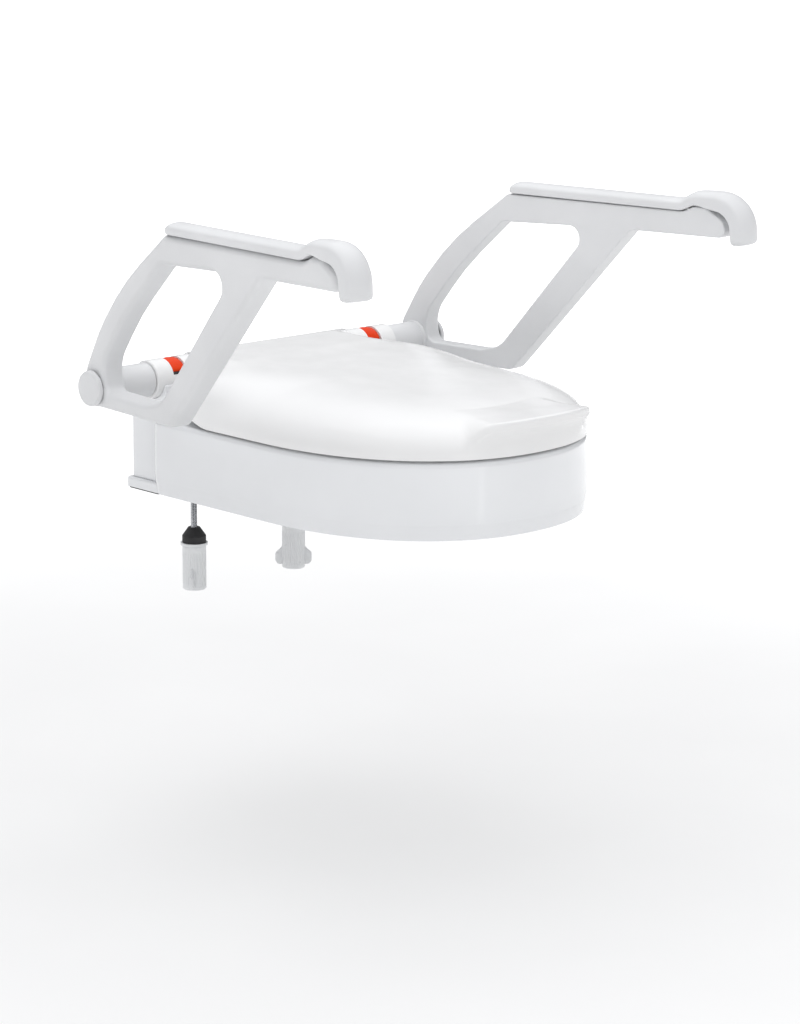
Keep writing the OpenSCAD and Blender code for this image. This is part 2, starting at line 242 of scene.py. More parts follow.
def plate(outline, holes, x0, x1, r0, r1, steps=5):
    """A (Y, Z) outline with holes, from x0 to x1 across, its edges rounded to r0 and r1.

    The outline runs counterclockwise and the holes clockwise.
    """
    sections = [(x0 + r0 * (1 - math.cos(a)), r0 * (1 - math.sin(a)))
                for a in np.linspace(0, math.pi / 2, steps + 1)]
    sections += [(x1 - r1 * (1 - math.cos(a)), r1 * (1 - math.sin(a)))
                 for a in np.linspace(math.pi / 2, 0, steps + 1)]
    points, faces, base = [], [], 0
    for line in [outline] + holes:
        rings = []
        for x, depth in sections:
            flat = set_in(line, depth)
            rings.append(np.column_stack([np.full(len(flat), x), flat]))
        p, f = loft(rings, caps=False)
        points.append(p)
        faces.extend([tuple(i + base for i in face) for face in f])
        base += len(p)
    for end, flip in ((0, False), (len(sections) - 1, True)):
        loops, index, base = [], [], 0
        for line in [outline] + holes:
            n = len(line)
            loops.append([Vector((y, z, 0)) for y, z in set_in(line, sections[end][1])])
            index.extend(range(base + end * n, base + end * n + n))
            base += n * len(sections)
        for tri in tessellate_polygon(loops):
            face = tuple(index[i] for i in tri)
            faces.append(face[::-1] if flip else face)
    return np.vstack(points), faces


def slab(outline, holes, z0, z1, r0, r1, steps=4):
    """An (X, Y) outline with holes, from z0 to z1, its lower and upper edges rounded to r0 and r1."""
    points, faces = plate(outline, holes, z0, z1, r0, r1, steps)
    return points[:, [1, 2, 0]], faces


WELD = 0.002        # points closer than this become one


def shell_object(name, points, faces, weld):
    """A linked object with a clean mesh: double points welded, faces turned outwards."""
    mesh = bpy.data.meshes.new(name)
    mesh.from_pydata([tuple(p) for p in points], [], faces)
    bm = bmesh.new()
    bm.from_mesh(mesh)
    bmesh.ops.remove_doubles(bm, verts=bm.verts, dist=weld)
    bmesh.ops.recalc_face_normals(bm, faces=bm.faces)
    bm.to_mesh(mesh)
    bm.free()
    obj = bpy.data.objects.new(name, mesh)
    bpy.context.scene.collection.objects.link(obj)
    return obj


def carved(shell, cutter):
    """A closed shell with another taken out of it."""
    body, tool = shell_object("body", *shell, WELD), shell_object("tool", *cutter, WELD)
    cut = body.modifiers.new("cut", "BOOLEAN")
    cut.operation = "DIFFERENCE"
    cut.solver = "EXACT"
    cut.object = tool
    bpy.context.view_layer.update()
    mesh = body.evaluated_get(bpy.context.evaluated_depsgraph_get()).to_mesh()
    result = np.array([v.co[:] for v in mesh.vertices]), [tuple(f.vertices) for f in mesh.polygons]
    bpy.data.objects.remove(body)
    bpy.data.objects.remove(tool)
    return result


# ---- materials ----

def material(name):
    """A new material, with its nodes, its links and its shader."""
    mat = bpy.data.materials.new(name)
    mat.use_nodes = True
    nodes, links = mat.node_tree.nodes, mat.node_tree.links
    return mat, nodes, links, nodes["Principled BSDF"]


NOISE_LOW, NOISE_HIGH = 0.3, 0.7        # nearly all of a noise's values lie between these


def noise(nodes, links, scale, detail, stretch=(1, 1, 1)):
    """Noise in the object's own space, in cycles per metre; returns its value output."""
    coords = nodes.new("ShaderNodeTexCoord")
    mapping = nodes.new("ShaderNodeMapping")
    mapping.inputs["Scale"].default_value = stretch
    tex = nodes.new("ShaderNodeTexNoise")
    tex.inputs["Scale"].default_value = scale
    tex.inputs["Detail"].default_value = detail
    links.new(coords.outputs["Object"], mapping.inputs["Vector"])
    links.new(mapping.outputs["Vector"], tex.inputs["Vector"])
    return tex.outputs["Fac"]


def spread(nodes, links, value, low, high, into):
    """Maps a noise value onto low..high and feeds a socket with it."""
    node = nodes.new("ShaderNodeMapRange")
    node.inputs["From Min"].default_value = NOISE_LOW
    node.inputs["From Max"].default_value = NOISE_HIGH
    node.inputs["To Min"].default_value = low
    node.inputs["To Max"].default_value = high
    links.new(value, node.inputs["Value"])
    links.new(node.outputs["Result"], into)


def tinted(nodes, links, value, dark, light, into):
    """Turns a noise value into a colour between dark and light and feeds a socket with it."""
    ramp = nodes.new("ShaderNodeValToRGB")
    ramp.color_ramp.elements[0].position = NOISE_LOW
    ramp.color_ramp.elements[0].color = (*dark, 1)
    ramp.color_ramp.elements[1].position = NOISE_HIGH
    ramp.color_ramp.elements[1].color = (*light, 1)
    links.new(value, ramp.inputs["Fac"])
    links.new(ramp.outputs["Color"], into)


def bumped(nodes, links, shader, layers):
    """Stacks bump layers (value, strength, distance in metres) under the shader's normal."""
    last = None
    for value, strength, distance in layers:
        bump = nodes.new("ShaderNodeBump")
        bump.inputs["Strength"].default_value = strength
        bump.inputs["Distance"].default_value = distance
        links.new(value, bump.inputs["Height"])
        if last:
            links.new(last.outputs["Normal"], bump.inputs["Normal"])
        last = bump
    links.new(last.outputs["Normal"], shader.inputs["Normal"])


PLASTIC_IOR, COAT_ROUGHNESS = 1.49, 0.06
WAVE_DEEP, GRAIN_DEEP = 0.0006, 0.00012        # metres


def moulded(name, dark, light, gloss, grain, grain_size, coat=0.0, wave=0.25, shine=0.5):
    """Injection-moulded plastic: mottled colour, uneven gloss, a fine grain and a slow wave.

    gloss is its lowest and highest roughness, grain_size the grain's cycles per metre, and
    shine the strength of its mirroring.
    """
    mat, nodes, links, shader = material(name)
    tinted(nodes, links, noise(nodes, links, 9, 3), dark, light, shader.inputs["Base Color"])
    spread(nodes, links, noise(nodes, links, 38, 4), *gloss, shader.inputs["Roughness"])
    shader.inputs["IOR"].default_value = PLASTIC_IOR
    shader.inputs["Coat Weight"].default_value = coat
    shader.inputs["Coat Roughness"].default_value = COAT_ROUGHNESS
    shader.inputs["Specular IOR Level"].default_value = shine
    bumped(nodes, links, shader, [
        (noise(nodes, links, 14, 1), wave, WAVE_DEEP),
        (noise(nodes, links, grain_size, 2), grain, GRAIN_DEEP)])
    return mat


def rubber(name, dark, light):
    """Matt rubber with a fine, even grain."""
    mat, nodes, links, shader = material(name)
    tinted(nodes, links, noise(nodes, links, 60, 4), dark, light, shader.inputs["Base Color"])
    spread(nodes, links, noise(nodes, links, 120, 3), 0.6, 0.8, shader.inputs["Roughness"])
    bumped(nodes, links, shader, [(noise(nodes, links, 1500, 3), 0.5, 0.0001)])
    return mat


def metal(name, dark, light, gloss, stretch=(1, 1, 1)):
    """Steel with fine turning or rolling marks along the stretched axis."""
    mat, nodes, links, shader = material(name)
    shader.inputs["Metallic"].default_value = 1.0
    tinted(nodes, links, noise(nodes, links, 45, 4), dark, light, shader.inputs["Base Color"])
    marks = noise(nodes, links, 900, 3, stretch)
    spread(nodes, links, marks, *gloss, shader.inputs["Roughness"])
    bumped(nodes, links, shader, [(marks, 0.12, 0.0001)])
    return mat


GLOSS_WHITE = moulded("gloss_white", (0.80, 0.80, 0.80), (0.83, 0.83, 0.83), (0.18, 0.26), 0.05, 700,
                      coat=0.05, wave=0.06, shine=0.28)
RING_WHITE = moulded("ring_white", (0.76, 0.77, 0.785), (0.795, 0.805, 0.82), (0.14, 0.20), 0.05, 700,
                     coat=0.3, wave=0.06)
SATIN_WHITE = moulded("satin_white", (0.73, 0.74, 0.75), (0.79, 0.80, 0.81), (0.26, 0.38), 0.12, 1100)
ARM_GREY = moulded("arm_grey", (0.655, 0.66, 0.67), (0.705, 0.71, 0.72), (0.34, 0.46), 0.35, 1600,
                   wave=0.15)
KEY_RED = moulded("key_red", (0.70, 0.040, 0.004), (0.78, 0.055, 0.007), (0.30, 0.42), 0.1, 1300,
                  shine=0.12)
# black rubber for the rubber parts; the ring at each end cap also wears it as a painted shadow
BLACK_RUBBER_AND_PAINTED_SHADOW = rubber("rubber_black", (0.012, 0.012, 0.013), (0.03, 0.03, 0.031))
SOFT_WHITE = rubber("rubber_white", (0.70, 0.71, 0.71), (0.78, 0.785, 0.79))
STEEL = metal("steel", (0.52, 0.53, 0.55), (0.66, 0.67, 0.69), (0.18, 0.34), (0.1, 1, 1))
ZINC = metal("zinc_screws", (0.55, 0.56, 0.56), (0.70, 0.71, 0.70), (0.25, 0.42))
BUSHING = moulded("bushing", (0.68, 0.66, 0.58), (0.76, 0.74, 0.67), (0.35, 0.5), 0.15, 1400)


SHARP = math.radians(35)        # edges that fold by more than this are shaded sharp


def piece(name, shell, body, mat, stands_for):
    """A shell as an object that rides on a body and stands for CAD nodes."""
    points, faces = shell
    obj = shell_object(name, np.asarray(points) * MM + np.array(AXLE), faces, WELD * MM)
    obj.data.shade_smooth()
    obj.data.set_sharp_from_angle(angle=SHARP)
    obj.data.materials.append(mat)
    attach(obj, body)
    if stands_for:
        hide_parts(*stands_for)


# ---- ring ----

PLAN_STEPS = 28800        # points worked out before they are spaced evenly


def plan_point(angle, rear, rear_n):
    """A point of the ring's outline, at a parameter angle: 0 right, 90 rear, 270 front."""
    c, s = math.cos(angle), math.sin(angle)
    n, b = (RING_N, RING_B) if s < 0 else (rear_n, rear - RING_CY)
    return np.array([RING_A * math.copysign(abs(c) ** (2 / n), c),
                     RING_CY + b * math.copysign(abs(s) ** (2 / n), s)])


def outline(count, rear, rear_n):
    """The plan as count points, evenly spaced along it, from the right side counterclockwise."""
    angles = [2 * math.pi * i / PLAN_STEPS for i in range(PLAN_STEPS)]
    return spaced(np.array([plan_point(a, rear, rear_n) for a in angles]), count, closed=True)


REAR_N = 45.0                    # roundness of the ring's rear, which is nearly a rectangle
OPENING_A, OPENING_B = 106.0, 140.0      # the opening's half width and half length
OPENING_N, OPENING_Y = 2.5, -235.0       # its roundness and its middle
EDGE_R, OPENING_R = 7.0, 9.0     # rounding of the top's outer edge, and of the opening's
TUCK = 15.0                      # height over which the outside turns in at the bottom
TUCK_FOOT = 1.5                  # where that turn starts, above the underside
SEAT_IN = 8.0                    # the seating surface starts this far in from the outline
SEAT_OUT = 26.0                  # and ends this far out from the opening
SEAT_DIP = 2.3                   # and falls this much on the way
EAR_X = (46, 82)                 # the ears that hold the ring on the axle
EAR_EDGE = 1.2                   # rounding of their edges


def opening_at(points):
    """For each point of the outline, the point of the opening in the same direction."""
    middle = np.array([0, OPENING_Y])
    out = []
    for p in points:
        d = p - middle
        reach = abs(d[0] / OPENING_A) ** OPENING_N + abs(d[1] / OPENING_B) ** OPENING_N
        out.append(middle + d / reach ** (1 / OPENING_N))
    return np.array(out)


def ring_outside():
    """The ring's outside from the bottom up to the top's edge, as (inset from the outline, height)."""
    z0, z1 = RING_Z0, RING_Z1
    foot = [(4.6, z0 + 0.6), (3.6, z0), (3.2, z0 + 0.2), (2.9, z0 + TUCK_FOOT)]
    turn = [(2.9 - 2.3 * math.sin(a) ** 1.6, z0 + TUCK_FOOT + (TUCK - TUCK_FOOT) * math.sin(a))
            for a in arc_angles(15, 90, 6)]
    wall = [(0.25, z0 + TUCK + 1.2), (0.05, z0 + TUCK + 3), (0, z0 + 30), (0.3, z1 - 20), (0.6, z1 - EDGE_R)]
    edge = [(0.6 + 6 * (1 - math.cos(a)), z1 - EDGE_R + 6.5 * math.sin(a)) for a in arc_angles(18, 90, 5)]
    return foot + turn + wall + edge


def ring_inside():
    """On from the seating surface, over the opening's edge and down, as (inset, height)."""
    z0, z1 = RING_Z0, RING_Z1
    rim = [(24.0, z1 - 2.8), (14.0, z1 - 3.6)]
    rim += [(OPENING_R * (1 - math.sin(a)), z1 - 13 + OPENING_R * math.cos(a)) for a in arc_angles(0, 90, 6)]
    wall = [(0.0, z1 - 30), (-0.6, z0 + 20), (-1.0, z0 + 2), (-0.6, z0), (2.0, z0), (3.0, z0 + 2)]
    hollow = [(3.2, z1 - 24), (9.0, z1 - 12), (18, z1 - 9)]
    return rim + wall + hollow


def ring_hollow():
    """The hollow's roof and outer wall, down to the bottom, as (inset from the outline, height)."""
    z0, z1 = RING_Z0, RING_Z1
    return [(12, z1 - 6), (5.5, z1 - 9), (4.8, z1 - 30), (4.8, z0 + 20), (6.4, z0 + 8), (6.2, z0 + 1.2)]


def ring_ears():
    z1 = RING_Z1
    line = [(-40, z1 - 5, 0), (-17, z1 - 3, 0), (-16, z1 + 12, 8), (18, -12, 14), (20, 2, 14),
            (10, 18, 14), (-4, 20, 14), (-15, 13.2, 20), (-50, z1 + 3, 12), (-58, z1 - 2, 0)]
    return both_sides(plate(smooth_outline(line, 4), [], *EAR_X, EAR_EDGE, EAR_EDGE, 3))


def seat_ring():
    outer = outline(400, RING_REAR, REAR_N)
    inner = opening_at(outer)
    way = inner - outer
    way = way / np.linalg.norm(way, axis=1)[:, None]

    def level(flat, z):
        return np.column_stack([flat, np.full(len(flat), z)])

    rings = [level(outer + way * inset, z) for inset, z in ring_outside()]
    start, end = outer + way * SEAT_IN, inner - way * SEAT_OUT
    for share in (0.15, 0.32, 0.5, 0.68, 0.84):
        rings.append(level(start + (end - start) * share, RING_Z1 - 0.5 - SEAT_DIP * share ** 1.5))
    rings += [level(inner - way * inset, z) for inset, z in ring_inside()]
    rings += [level(outer + way * inset, z) for inset, z in ring_hollow()]
    return join(loft(rings, wrap=True, caps=False), ring_ears())


piece("seat_ring_shell", seat_ring(), "ring", RING_WHITE, ["seat_ring"])


# ---- lid ----

LID_EDGE = RING_Z1 + 2.0         # the lid's lower edge, which buffers hold off the ring
LID_TOP = 24.0                   # the lid's crest over the axle
LID_FALL = 20.5                  # how much lower the crest is at the front
LID_REAR, LID_N = -38.0, 6.6     # its rear edge beside the tongue, and the roundness there
LID_WALL = 3.5
LID_STEPS = 64                   # rings of points from the middle to the edge
TONGUE_X, TONGUE_Y = 117.6, 2.0  # the tongue that reaches back to the axle: half width, end


def lid_crest(y):
    return LID_TOP + LID_FALL * y / RING_FRONT


def lid_outline():
    """The lid's outline with its tongue, as (direction from the middle, distance), from the right."""
    plain = outline(1440, LID_REAR, LID_N)
    d = plain - np.array([0, RING_CY])
    angle = np.unwrap(np.arctan2(d[:, 1], d[:, 0]))
    tongue = math.atan2(TONGUE_Y - RING_CY, TONGUE_X)
    root = math.atan2(LID_REAR - RING_CY - 0.5, TONGUE_X + 0.6)
    marks = [0, root, tongue, math.pi - tongue, math.pi - root, 2 * math.pi]
    counts = [50, 7, 36, 7, 220]         # points between the marks
    out = []
    for start, end, count in zip(marks, marks[1:], counts):
        for a in np.linspace(start, end, count, endpoint=False):
            if tongue <= a <= math.pi - tongue + 1e-9:
                reach = (TONGUE_Y - RING_CY) / math.sin(a)
            elif root < a < math.pi - root:
                reach = TONGUE_X / abs(math.cos(a))
            else:
                k = np.interp(a, angle, np.arange(len(plain)))
                p = plain[int(k) % len(plain)] * (1 - k % 1) + plain[(int(k) + 1) % len(plain)] * (k % 1)
                reach = np.linalg.norm(p - np.array([0, RING_CY]))
            out.append((a, reach))
    return np.array(out)


def dome(x, y):
    """How far out a point of the plan is: 0 in the middle, 1 on the lid's outline."""
    rear = y > RING_CY
    n = np.where(rear, LID_N, RING_N)
    b = np.where(rear, LID_REAR - RING_CY, RING_B)
    return (np.abs(x / RING_A) ** n + np.abs((y - RING_CY) / b) ** n) ** (1 / n)


def lid_bottom(y):
    """Height of the lid's lower edge, which rises towards the hinge."""
    return LID_EDGE + 8 * ease(y, -116, -68) + 5 * ease(y, -68, LID_REAR)


def walled(outside, grid, depth):
    """A closed shell between two grids of rings that start in one point.

    The first is outside, the second is grid moved inwards by depth.
    """
    along = np.gradient(grid, axis=0)
    around = np.roll(grid, -1, axis=1) - np.roll(grid, 1, axis=1)
    normal = np.cross(along, around)
    normal[0] = (0, 0, 1)
    normal /= np.linalg.norm(normal, axis=2)[:, :, None]
    inner = grid - normal * depth
    return loft(list(outside) + list(inner[::-1]), caps=False)


def lid_shell():
    """The dome: a crest along the middle that falls to the edge, and stays level over the tongue."""
    angles, reach = lid_outline().T
    # how squarely the dome turns down at its edge, most at the rear and least at the sides
    power = 4.5 + 2.6 * ease(-np.sin(angles), 0.1, 1.0) + 5.0 * ease(np.sin(angles), 0.1, 0.9)
    rings = []
    for k in range(LID_STEPS + 1):
        share = math.sin(math.pi / 2 * (k / LID_STEPS) ** 0.9) ** (2 / power)
        x = np.cos(angles) * reach * share
        y = RING_CY + np.sin(angles) * reach * share
        at = np.clip(dome(x, y), 0, 1) if k < LID_STEPS else np.ones(len(angles))
        keep = (1 - ease(np.abs(x), 104, 150)) * ease(y, -125, -62)        # 1 over the tongue
        fall = 1 - (1 - (1 - at ** power) ** (1 / 2.3)) * (1 - keep)
        barrel = np.sqrt(LID_TOP ** 2 - np.maximum(y, 0) ** 2)
        crest = np.where(y > 0, barrel, lid_crest(np.minimum(y, 0)))
        crown = -2.0 * (x / RING_A) ** 2 * (1 - keep)
        edge = lid_bottom(y)
        rings.append(np.column_stack([x, y, edge + (crest + crown - edge) * fall]))
    grid = np.array(rings)
    return walled(with_lip(grid), grid, LID_WALL)


LIP_TIP = 2.6            # height of the lip's upper edge in the middle
LIP_OUT = 14.5           # how far it stands out from the lid's edge
LIP_ROOT = 56.0          # how far back it leaves the dome
LIP_HALF = 85.0          # half its width, where its upper edge would be at the axle's height
LIP_FADE = (70, 91)      # it dies away between these distances from the middle


def with_lip(grid):
    """The lid's outside with the visor at its front, which the fingers lift."""
    out = grid.copy()
    centre = grid[0, 0, :2]
    for j in range(grid.shape[1]):
        rim = grid[-1, j]
        share = 1 - float(ease(abs(rim[0]), *LIP_FADE))
        if share == 0 or rim[1] > RING_CY:
            continue
        way = (rim[:2] - centre) / np.linalg.norm(rim[:2] - centre)
        away = (grid[:, j, :2] - rim[:2]) @ way
        start = int(np.argmin(np.abs(away + LIP_ROOT)))
        tip = LIP_TIP - LIP_TIP * (rim[0] / LIP_HALF) ** 2
        line = rounded([(away[start], grid[start, j, 2], 0), (-20, tip + 0.6, 90), (LIP_OUT, tip, 3.0),
                        (LIP_OUT, tip - 8.5, 2.4), (2.5, tip - 19, 9), (0, tip - 27, 10), (0, LID_EDGE, 0)],
                       closed=False, step=12)
        line = spaced(line, len(grid) - start)
        out[start:, j, :2] = rim[:2] + np.outer(away[start:] * (1 - share) + line[:, 0] * share, way)
        out[start:, j, 2] = grid[start:, j, 2] * (1 - share) + line[:, 1] * share
    return out


def arc_block(x0, x1, r0, r1, a0, a1, edge):
    """A stretch of tube round the axle, from angle a0 to a1: 0 front, 90 top."""
    turn = arc_angles(a0, a1, round((a1 - a0) / 4))
    outer = np.column_stack([-r1 * np.cos(turn), r1 * np.sin(turn)])
    inner = np.column_stack([-r0 * np.cos(turn), r0 * np.sin(turn)])[::-1]
    return plate(counterclockwise(np.vstack([outer, inner])), [], x0, x1, edge, edge, 3)


def tube_x(x0, x1, r0, r1, edge=0.8):
    """A sleeve round the axle with its outer edges rounded."""
    turn = arc_angles(0, 90, 4)
    profile = [(r0, x0)] + [(r1 - edge * (1 - math.sin(a)), x0 + edge * (1 - math.cos(a))) for a in turn]
    profile += [(r1 - edge * (1 - math.cos(a)), x1 - edge * (1 - math.sin(a))) for a in turn]
    return lathe(profile + [(r0, x1), (r0, x0)], 64, "x")


KNUCKLE_X, KNUCKLE_R = 84, (11, 23)              # the knuckles' inner ends, and their radii
COVER_R, COVER_TURN = 20.8, (82, 125)            # the hinge cover's inner radius and its stretch


def lid():
    """The dome, its two knuckles on the axle, and the cover over the hinge between them."""
    knuckles = both_sides(tube_x(KNUCKLE_X, TONGUE_X, *KNUCKLE_R))
    cover = arc_block(-TONGUE_X, TONGUE_X, COVER_R, LID_TOP, *COVER_TURN, 0.8)
    return join(lid_shell(), knuckles, cover)


piece("lid_shell", lid(), "lid", GLOSS_WHITE, ["lid"])


# ---- armrests ----

ARM_T = 26.0             # the loop's thickness
ARM_MID = 243.6          # its middle, at the axle
SPLAY = 5.8              # degrees by which the armrests spread towards the front
PAD_END_R, GRIP_END_R = 15.0, 7.0      # rounding of the pad's rear end and of the grip's tip
PAD_WELLS = ((-205, 188), (-370, 190))           # (Y, Z) above the wells of the pad's screws
PAD_WELL_R, PAD_WELL_DEEP = 5, 36
HUB_R, HUB_X = (17, 21.4), (ARM_MID - 15, 256.2)
BOSS_R, BOSS_X = (11, 19.5), (183.6, ARM_MID - 8)
SPIGOT_R, SPIGOT_X = (11, 15), (126, 186)


def arm_place(shell):
    """From the arm's own plane, middle at x = 0, to its place on the right."""
    return moved(turned_z(shell, SPLAY), (ARM_MID, 0, 0))


# (Y, Z, radius) corners: from the pivot up the rear post, along the top, and down the front post
ARM_LINE = [(0, -21.5, 0), (15, -21.5, 14), (22, -2, 20), (19, 20, 30), (-8, 66, 240), (-52, 121, 370),
            (-142, 187, 7.5), (-396, 190, 30), (-408, 196.5, 9), (-426, 196.5, 12), (-448, 184, 10),
            (-457, 165, 9), (-322, 162, 14), (-152, -21, 14)]
ARM_HOLE = [(-24, -2, 11), (-16, 28, 40), (-62, 88, 350), (-135, 154, 14), (-268, 160.5, 15), (-132, 4, 40),
            (-105, -2, 30)]
PAD_PATH = [(-141, 188.5, 0), (-394, 191, 25), (-411, 199.5, 22), (-464, 199.5, 27), (-467, 158, 0)]


def pad_screw_wells():
    well = lathe([(0, -14), (PAD_WELL_R, -14), (PAD_WELL_R, 22), (0, 22)], 32)
    return join(*[arm_place(moved(well, (0, y, z - PAD_WELL_DEEP))) for y, z in PAD_WELLS])


def arm_frame():
    """The loop, its hub and boss on the axle, and the spigot that turns inside the sleeve."""
    outer = smooth_outline(ARM_LINE, 6, step=6)
    hole = smooth_outline(ARM_HOLE, 6, step=6)[::-1]
    loop = arm_place(plate(outer, [hole], -ARM_T / 2, ARM_T / 2, 2.0, 7.0, 7))
    hub = tube_x(*HUB_X, *HUB_R, 3.0)
    boss = tube_x(*BOSS_X, *BOSS_R, 1.2)
    spigot = tube_x(*SPIGOT_X, *SPIGOT_R, 0.6)
    return join(carved(loop, pad_screw_wells()), hub, boss, spigot)


def pad_section(s, length):
    """The pad's D-shaped section (across, up) at a distance s along its path."""
    rear, tip = min(s, PAD_END_R), min(length - s, GRIP_END_R)
    grow = math.sqrt(max(0, 1 - (1 - rear / PAD_END_R) ** 2))       # 0 to 1 over the rear end
    thin = math.sqrt(max(0, 1 - (1 - tip / GRIP_END_R) ** 2))       # 1 to 0 over the grip's tip
    grip = float(ease(s, 262, 305))                                 # 0 on the bar, 1 on the grip
    half = (15.0 + 1.5 * grip) * (0.35 + 0.65 * grow) * (0.82 + 0.18 * thin)
    high = (13.0 + 3.0 * float(ease(s, 235, 300))) * (0.12 + 0.88 * grow) * (0.55 + 0.45 * thin)
    under = 5.0 * grip * (0.4 + 0.6 * thin)
    side = min(6.0, high * 0.45)
    turn = arc_angles(0, 180, 19)
    across = np.concatenate([[half - 1.2, half], half * np.cos(turn), [-half, -half + 1.2]])
    top = side + (high - side) * np.sin(turn) ** 0.86
    return across, np.concatenate([[-under, 1.0 - under], top, [1.0 - under, -under]])


def arm_pad():
    """A D-section swept along the bar's top and round the grip, with rounded ends."""
    path = spaced(rounded(PAD_PATH, closed=False, step=5), 190)
    ahead = np.gradient(path, axis=0)
    ahead /= np.linalg.norm(ahead, axis=1)[:, None]
    up = np.stack([ahead[:, 1], -ahead[:, 0]], axis=1)
    reach = np.concatenate([[0], np.cumsum(np.linalg.norm(np.diff(path, axis=0), axis=1))])
    rings = []
    for p, u, s in zip(path, up, reach):
        across, high = pad_section(s, reach[-1])
        rings.append(np.column_stack([across, p[0] + u[0] * high, p[1] + u[1] * high]))
    return arm_place(loft(rings))


KEY_MID, KEY_HALF, KEY_TOP = 150.2, 9, 22.2      # the key's middle and half width along X, its radius
KEY_TURN = (24.6, 119.4)                         # degrees from the front up and over
KEY_FOOT = 13.5                                  # the radius it starts at, inside the spigot


def stop_key():
    turn = arc_angles(*KEY_TURN, 28)
    rings = []
    for a in turn:
        near = min(a - turn[0], turn[-1] - a)
        drop = 1.0 - min(1.0, math.degrees(near) / 6)
        side = KEY_TOP - 1.6 - drop
        line = rounded([(-KEY_HALF, KEY_FOOT, 0), (-KEY_HALF, side, 1.2), (0, KEY_TOP - drop, 30),
                        (KEY_HALF, side, 1.2), (KEY_HALF, KEY_FOOT, 0)], step=12)
        x, r = line.T
        rings.append(np.column_stack([KEY_MID + x, -r * math.cos(a), r * math.sin(a)]))
    return loft(rings)


def end_cap():
    """The round cap on the pivot's outer end, slightly domed."""
    profile = [(0, 250.5), (15.6, 250.5), (15.8, 251), (15.8, 259.4), (19.4, 259.6), (19.9, 260.2),
               (19.9, 263.2), (19.4, 264.4), (18.2, 265.3), (16.2, 265.7), (10, 266.1), (0, 266.2)]
    return lathe(profile, 72, "x")


def end_cap_painted_shadow():
    """A black ring in the gap between the cap and the hub, which paints the shadow line there."""
    return tube_x(255.2, 259.5, 15.9, 17.6, 0.5)


ARM_PARTS = [
    ("arm_frame", arm_frame, ARM_GREY, "arm_grey", ["arm_frame"]),
    ("arm_pad", arm_pad, ARM_GREY, "arm_grey", ["arm_pad"]),
    ("stop_key", stop_key, KEY_RED, "key_red", ["stop_key"]),
    ("end_cap", end_cap, ARM_GREY, "arm_grey", ["end_cap"]),
    # the last row is a black ring at each end cap that paints the shadow in the gap by the hub
    ("end_cap_painted_shadow", end_cap_painted_shadow, BLACK_RUBBER_AND_PAINTED_SHADOW, "rubber_black", [])]

for side, flip in SIDES:
    for name, make, mat, finish, nodes in ARM_PARTS:
        stands_for = [f"{side}_{node}" for node in nodes]
        piece(f"{side}_{name}_form", flip(make()), side + "_arm", mat, stands_for)


# ---- sleeves ----

COLLAR_R, COLLAR_X = (15.3, 22.0), (119, 183)
COLLAR_EDGE = 0.8                                           # chamfer of its outer edges
WINDOW_X, WINDOW_TURN = (140.2, 160.2), (15.0, 216.0)       # degrees from the front up and over


def collar():
    """The sleeve with the key's window, as a wall between two radii, cell by cell."""
    x0, x1 = COLLAR_X
    xs = [x0, x0 + COLLAR_EDGE, *np.linspace(124, WINDOW_X[0], 5), *np.linspace(145, WINDOW_X[1], 4),
          *np.linspace(165, x1 - COLLAR_EDGE, 5), x1]
    turns = sorted(set(np.linspace(0, 360, 91)[:-1]) | set(WINDOW_TURN))
    rows, columns = len(xs), len(turns)
    points = []
    for radius in COLLAR_R[::-1]:
        for x in xs:
            r = radius - (COLLAR_EDGE if radius == COLLAR_R[1] and x in COLLAR_X else 0)
            points += [(x, -r * math.cos(math.radians(a)), r * math.sin(math.radians(a))) for a in turns]

    def solid(i, j):
        """Whether a cell is there: inside the sleeve's length and outside its window."""
        if not 0 <= i < rows - 1:
            return False
        x = (xs[i] + xs[i + 1]) / 2
        a = turns[j % columns] + 0.5
        return not (WINDOW_X[0] < x < WINDOW_X[1] and WINDOW_TURN[0] < a < WINDOW_TURN[1])

    def at(i, j, inside):
        return inside * rows * columns + i * columns + j % columns

    faces = []
    for i in range(rows - 1):
        for j in range(columns):
            if not solid(i, j):
                continue
            faces.append((at(i, j, 0), at(i, j + 1, 0), at(i + 1, j + 1, 0), at(i + 1, j, 0)))
            faces.append((at(i, j, 1), at(i + 1, j, 1), at(i + 1, j + 1, 1), at(i, j + 1, 1)))
            for di, dj, p, q in ((-1, 0, (i, j), (i, j + 1)), (1, 0, (i + 1, j), (i + 1, j + 1)),
                                 (0, -1, (i, j), (i + 1, j)), (0, 1, (i, j + 1), (i + 1, j + 1))):
                if not solid(i + di, (j + dj) % columns):
                    faces.append((at(*p, 0), at(*q, 0), at(*q, 1), at(*p, 1)))
    return np.array(points, float), faces


def collar_end():
    """The sleeve's closed end, next to the lid."""
    return tube_x(119.4, 125, 9.1, 15.4, 0.2)


for side, flip in SIDES:
    sleeve = join(flip(collar()), flip(collar_end()))
    piece(side + "_collar_form", sleeve, "base", GLOSS_WHITE, [side + "_collar"])


# ---- hinge block and fixing plate ----

BLOCK_LINE = [(-16, -118, 1.5), (-16, -40, 3), (36, -40, 7), (36, -118, 1.5)]
TOWER_LINE = [(-15.4, -60, 0), (-15.4, -44, 0), (-16, -43, 0), (-16, -34, 4), (-24, -28, 5), (-23, -4, 2.5),
              (23, -4, 2.5), (27, -20, 9), (35.6, -44, 4), (35.6, -60, 0)]
BLOCK_X, TOWER_X = 175, (127.2, 174.6)      # the towers end just inside the block's end faces
BRACKET_EDGE = 1.5                          # rounding of their edges
COLLAR_SEAT_R, COLLAR_SEAT_X = 22.5, (126, 176)
WELL_X, WELL_Z, WELL_R = (139, 163), -32, 4.5


